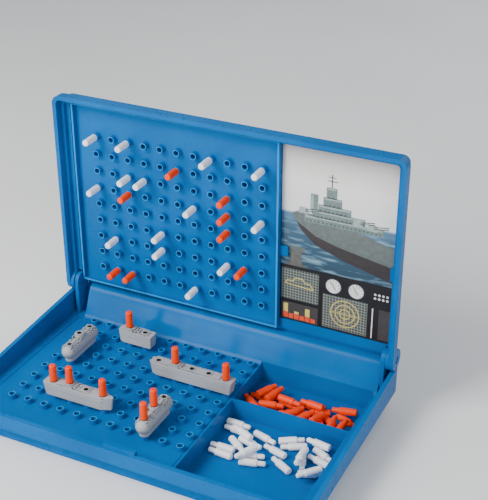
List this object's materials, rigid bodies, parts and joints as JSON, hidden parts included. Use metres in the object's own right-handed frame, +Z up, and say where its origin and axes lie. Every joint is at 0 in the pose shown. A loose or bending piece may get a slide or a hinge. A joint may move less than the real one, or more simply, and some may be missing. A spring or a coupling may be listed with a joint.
{
  "type": "fleet guessing case",
  "caption": "Hinged two-grid fleet guessing case with lift-out ships and pegs, sunken peg trays and a display card in the lid.",
  "frame": {"origin": "centre of the case's footprint, on the surface the base stands on", "axes": "+X along the hinge towards the peg trays' side, +Y from the front rim to the hinge, +Z up"},
  "size_m": [0.21, 0.128, 0.1546],
  "materials": {
    "blue_case": "moulded satin blue",
    "orange_peg": "moulded orange red",
    "white_peg": "moulded white",
    "grey_ship": "moulded light grey",
    "card": "printed card with a light coat"
  },
  "bodies": {
    "base": {"base_tray": "blue_case", "ocean_grid_panel": "blue_case", "loose_peg_orange_01": "orange_peg", "loose_peg_orange_02": "orange_peg", "loose_peg_orange_03": "orange_peg", "loose_peg_orange_04": "orange_peg", "loose_peg_orange_05": "orange_peg", "loose_peg_orange_06": "orange_peg", "loose_peg_orange_07": "orange_peg", "loose_peg_orange_08": "orange_peg", "loose_peg_white_01": "white_peg", "loose_peg_white_02": "white_peg", "loose_peg_white_03": "white_peg", "loose_peg_white_04": "white_peg", "loose_peg_white_05": "white_peg", "loose_peg_white_06": "white_peg", "loose_peg_white_07": "white_peg", "loose_peg_white_08": "white_peg"},
    "lid": {"lid_shell": "blue_case", "target_grid_panel": "blue_case", "display_card": "card", "hinge_pin_left": "blue_case", "hinge_pin_right": "blue_case"},
    "patrol_boat": {"patrol_boat": "grey_ship"},
    "patrol_boat_peg_1": {"patrol_boat_peg_1": "orange_peg"},
    "carrier": {"carrier": "grey_ship"},
    "carrier_peg_1": {"carrier_peg_1": "orange_peg"},
    "carrier_peg_2": {"carrier_peg_2": "orange_peg"},
    "battleship": {"battleship": "grey_ship"},
    "battleship_peg_1": {"battleship_peg_1": "orange_peg"},
    "battleship_peg_2": {"battleship_peg_2": "orange_peg"},
    "battleship_peg_3": {"battleship_peg_3": "orange_peg"},
    "submarine_left": {"submarine_left": "grey_ship"},
    "submarine_right": {"submarine_right": "grey_ship"},
    "submarine_right_peg_1": {"submarine_right_peg_1": "orange_peg"},
    "submarine_right_peg_2": {"submarine_right_peg_2": "orange_peg"},
    "target_peg_white_01": {"target_peg_white_01": "white_peg"},
    "target_peg_white_02": {"target_peg_white_02": "white_peg"},
    "target_peg_white_03": {"target_peg_white_03": "white_peg"},
    "target_peg_white_04": {"target_peg_white_04": "white_peg"},
    "target_peg_white_05": {"target_peg_white_05": "white_peg"},
    "target_peg_white_06": {"target_peg_white_06": "white_peg"},
    "target_peg_white_07": {"target_peg_white_07": "white_peg"},
    "target_peg_white_08": {"target_peg_white_08": "white_peg"},
    "target_peg_white_09": {"target_peg_white_09": "white_peg"},
    "target_peg_white_10": {"target_peg_white_10": "white_peg"},
    "target_peg_white_11": {"target_peg_white_11": "white_peg"},
    "target_peg_white_12": {"target_peg_white_12": "white_peg"},
    "target_peg_white_13": {"target_peg_white_13": "white_peg"},
    "target_peg_white_14": {"target_peg_white_14": "white_peg"},
    "target_peg_orange_01": {"target_peg_orange_01": "orange_peg"},
    "target_peg_orange_02": {"target_peg_orange_02": "orange_peg"},
    "target_peg_orange_03": {"target_peg_orange_03": "orange_peg"},
    "target_peg_orange_04": {"target_peg_orange_04": "orange_peg"},
    "target_peg_orange_05": {"target_peg_orange_05": "orange_peg"},
    "target_peg_orange_06": {"target_peg_orange_06": "orange_peg"},
    "target_peg_orange_07": {"target_peg_orange_07": "orange_peg"},
    "target_peg_orange_08": {"target_peg_orange_08": "orange_peg"}
  },
  "joints": [
    {"name": "lid_hinge", "type": "hinge", "parent": "base", "child": "lid", "pos_m": [0, 0.0571, 0.0337], "axis": [-1, 0, 0], "range_deg": [-80, 0]},
    {"name": "patrol_boat_lift", "type": "slide", "parent": "base", "child": "patrol_boat", "axis": [0, 0, 1], "range_m": [0, 0.02]},
    {"name": "patrol_boat_peg_1_lift", "type": "slide", "parent": "patrol_boat", "child": "patrol_boat_peg_1", "axis": [0, 0, 1], "range_m": [0, 0.012]},
    {"name": "carrier_lift", "type": "slide", "parent": "base", "child": "carrier", "axis": [0, 0, 1], "range_m": [0, 0.02]},
    {"name": "carrier_peg_1_lift", "type": "slide", "parent": "carrier", "child": "carrier_peg_1", "axis": [0, 0, 1], "range_m": [0, 0.012]},
    {"name": "carrier_peg_2_lift", "type": "slide", "parent": "carrier", "child": "carrier_peg_2", "axis": [0, 0, 1], "range_m": [0, 0.012]},
    {"name": "battleship_lift", "type": "slide", "parent": "base", "child": "battleship", "axis": [0, 0, 1], "range_m": [0, 0.02]},
    {"name": "battleship_peg_1_lift", "type": "slide", "parent": "battleship", "child": "battleship_peg_1", "axis": [0, 0, 1], "range_m": [0, 0.012]},
    {"name": "battleship_peg_2_lift", "type": "slide", "parent": "battleship", "child": "battleship_peg_2", "axis": [0, 0, 1], "range_m": [0, 0.012]},
    {"name": "battleship_peg_3_lift", "type": "slide", "parent": "battleship", "child": "battleship_peg_3", "axis": [0, 0, 1], "range_m": [0, 0.012]},
    {"name": "submarine_left_lift", "type": "slide", "parent": "base", "child": "submarine_left", "axis": [0, 0, 1], "range_m": [0, 0.02]},
    {"name": "submarine_right_lift", "type": "slide", "parent": "base", "child": "submarine_right", "axis": [0, 0, 1], "range_m": [0, 0.02]},
    {"name": "submarine_right_peg_1_lift", "type": "slide", "parent": "submarine_right", "child": "submarine_right_peg_1", "axis": [0, 0, 1], "range_m": [0, 0.012]},
    {"name": "submarine_right_peg_2_lift", "type": "slide", "parent": "submarine_right", "child": "submarine_right_peg_2", "axis": [0, 0, 1], "range_m": [0, 0.012]},
    {"name": "target_peg_white_01_pull", "type": "slide", "parent": "lid", "child": "target_peg_white_01", "axis": [0, -1, 0], "range_m": [0, 0.012]},
    {"name": "target_peg_white_02_pull", "type": "slide", "parent": "lid", "child": "target_peg_white_02", "axis": [0, -1, 0], "range_m": [0, 0.012]},
    {"name": "target_peg_white_03_pull", "type": "slide", "parent": "lid", "child": "target_peg_white_03", "axis": [0, -1, 0], "range_m": [0, 0.012]},
    {"name": "target_peg_white_04_pull", "type": "slide", "parent": "lid", "child": "target_peg_white_04", "axis": [0, -1, 0], "range_m": [0, 0.012]},
    {"name": "target_peg_white_05_pull", "type": "slide", "parent": "lid", "child": "target_peg_white_05", "axis": [0, -1, 0], "range_m": [0, 0.012]},
    {"name": "target_peg_white_06_pull", "type": "slide", "parent": "lid", "child": "target_peg_white_06", "axis": [0, -1, 0], "range_m": [0, 0.012]},
    {"name": "target_peg_white_07_pull", "type": "slide", "parent": "lid", "child": "target_peg_white_07", "axis": [0, -1, 0], "range_m": [0, 0.012]},
    {"name": "target_peg_white_08_pull", "type": "slide", "parent": "lid", "child": "target_peg_white_08", "axis": [0, -1, 0], "range_m": [0, 0.012]},
    {"name": "target_peg_white_09_pull", "type": "slide", "parent": "lid", "child": "target_peg_white_09", "axis": [0, -1, 0], "range_m": [0, 0.012]},
    {"name": "target_peg_white_10_pull", "type": "slide", "parent": "lid", "child": "target_peg_white_10", "axis": [0, -1, 0], "range_m": [0, 0.012]},
    {"name": "target_peg_white_11_pull", "type": "slide", "parent": "lid", "child": "target_peg_white_11", "axis": [0, -1, 0], "range_m": [0, 0.012]},
    {"name": "target_peg_white_12_pull", "type": "slide", "parent": "lid", "child": "target_peg_white_12", "axis": [0, -1, 0], "range_m": [0, 0.012]},
    {"name": "target_peg_white_13_pull", "type": "slide", "parent": "lid", "child": "target_peg_white_13", "axis": [0, -1, 0], "range_m": [0, 0.012]},
    {"name": "target_peg_white_14_pull", "type": "slide", "parent": "lid", "child": "target_peg_white_14", "axis": [0, -1, 0], "range_m": [0, 0.012]},
    {"name": "target_peg_orange_01_pull", "type": "slide", "parent": "lid", "child": "target_peg_orange_01", "axis": [0, -1, 0], "range_m": [0, 0.012]},
    {"name": "target_peg_orange_02_pull", "type": "slide", "parent": "lid", "child": "target_peg_orange_02", "axis": [0, -1, 0], "range_m": [0, 0.012]},
    {"name": "target_peg_orange_03_pull", "type": "slide", "parent": "lid", "child": "target_peg_orange_03", "axis": [0, -1, 0], "range_m": [0, 0.012]},
    {"name": "target_peg_orange_04_pull", "type": "slide", "parent": "lid", "child": "target_peg_orange_04", "axis": [0, -1, 0], "range_m": [0, 0.012]},
    {"name": "target_peg_orange_05_pull", "type": "slide", "parent": "lid", "child": "target_peg_orange_05", "axis": [0, -1, 0], "range_m": [0, 0.012]},
    {"name": "target_peg_orange_06_pull", "type": "slide", "parent": "lid", "child": "target_peg_orange_06", "axis": [0, -1, 0], "range_m": [0, 0.012]},
    {"name": "target_peg_orange_07_pull", "type": "slide", "parent": "lid", "child": "target_peg_orange_07", "axis": [0, -1, 0], "range_m": [0, 0.012]},
    {"name": "target_peg_orange_08_pull", "type": "slide", "parent": "lid", "child": "target_peg_orange_08", "axis": [0, -1, 0], "range_m": [0, 0.012]}
  ]
}
